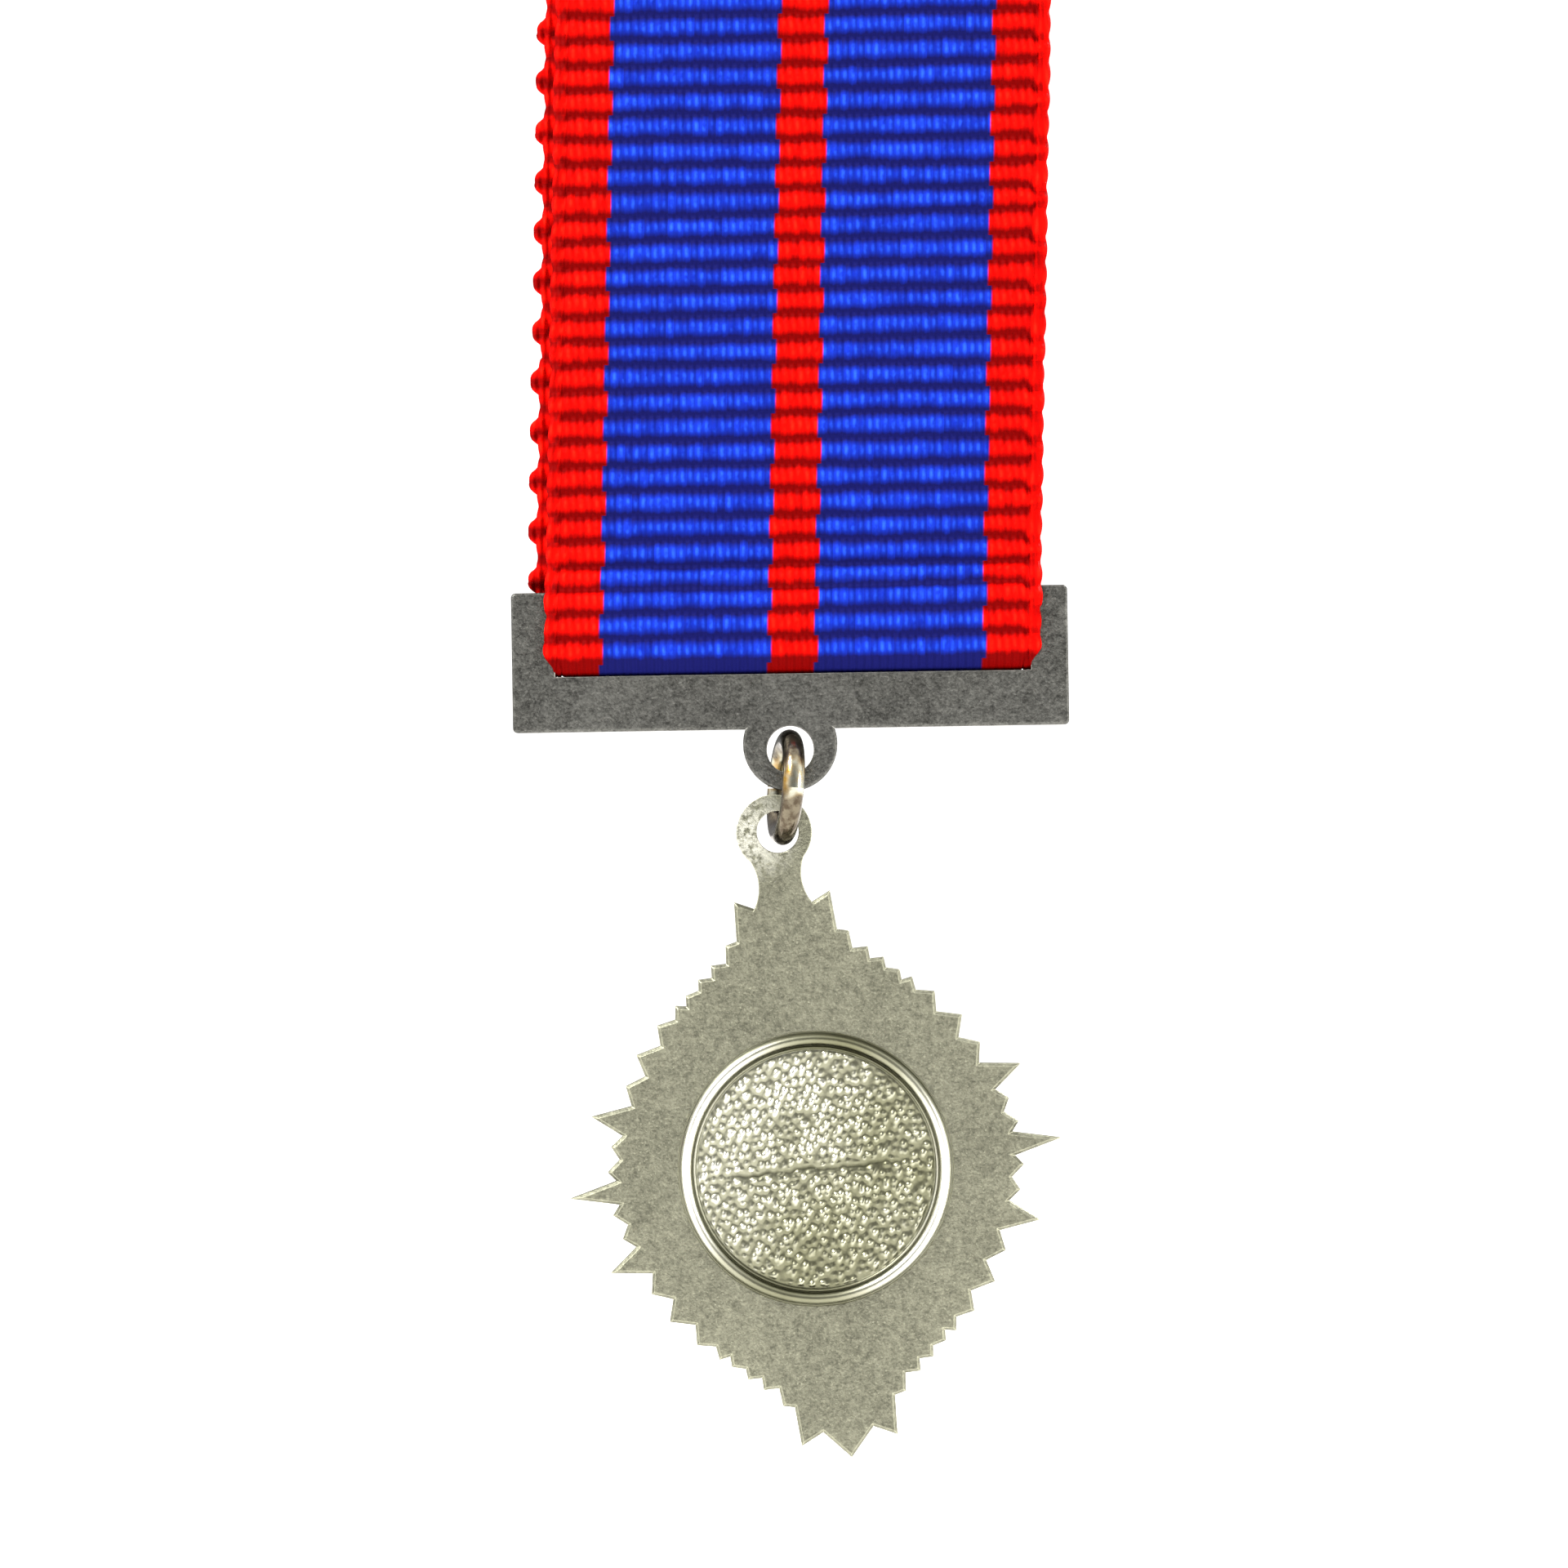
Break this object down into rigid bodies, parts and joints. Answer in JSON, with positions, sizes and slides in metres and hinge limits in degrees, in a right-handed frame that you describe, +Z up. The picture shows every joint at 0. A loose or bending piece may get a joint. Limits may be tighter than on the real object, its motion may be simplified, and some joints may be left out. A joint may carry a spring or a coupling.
{
  "type": "miniature medal",
  "caption": "Miniature service medal: pin brooch, striped ribbon, suspender bar, jump ring and a rayed star with a plain pebbled roundel.",
  "frame": {"origin": "on the brooch pin's axis, at the middle of the pin's straight length", "axes": "+Z up as the medal hangs when worn, -Y the way the obverse faces, +Y the way the reverse and the brooch pin face"},
  "size_m": [0.0199, 0.0043, 0.057],
  "materials": {
    "brooch_metal": "satin nickel-washed brass",
    "pin_steel": "drawn and polished",
    "ribbon": "ribbed woven silk, blue with red edges and a red centre stripe",
    "thread": "twisted sewing thread",
    "suspender_metal": "dark, finely grained",
    "ring_metal": "bright, a little golden",
    "star_metal": "finely sandblasted",
    "roundel_metal": "bright, pebbled field and polished bead rim"
  },
  "bodies": {
    "brooch": {"brooch_plate": "brooch_metal", "pin_bracket": "brooch_metal", "pin_rivet": "brooch_metal", "pin_catch": "brooch_metal", "ribbon_drop": "ribbon", "ribbon_stitches": "thread"},
    "pin": {"brooch_pin": "pin_steel"},
    "suspender": {"suspender_bar": "suspender_metal", "ribbon_fold": "ribbon"},
    "ring": {"jump_ring": "ring_metal"},
    "pendant": {"star_plate": "star_metal", "roundel_back": "roundel_metal", "roundel_front": "roundel_metal", "roundel_stud": "roundel_metal"}
  },
  "joints": [
    {"name": "pin_hinge", "type": "hinge", "parent": "brooch", "child": "pin", "pos_m": [0.00895, 0, 0], "axis": [0, 0, -1], "range_deg": [0, 80]},
    {"name": "suspender_swing", "type": "hinge", "parent": "brooch", "child": "suspender", "pos_m": [0.00102, -0.00175, -0.02555], "axis": [1, 0, 0], "range_deg": [-50, 50]},
    {"name": "ring_swing", "type": "hinge", "parent": "suspender", "child": "ring", "pos_m": [0.00105, -0.00175, -0.03141], "axis": [0.983, 0.1564, 0.0964], "range_deg": [-18, 18]},
    {"name": "pendant_sway", "type": "hinge", "parent": "ring", "child": "pendant", "pos_m": [0.00151, -0.00175, -0.03406], "axis": [0, 1, 0], "range_deg": [-40, 40]}
  ]
}
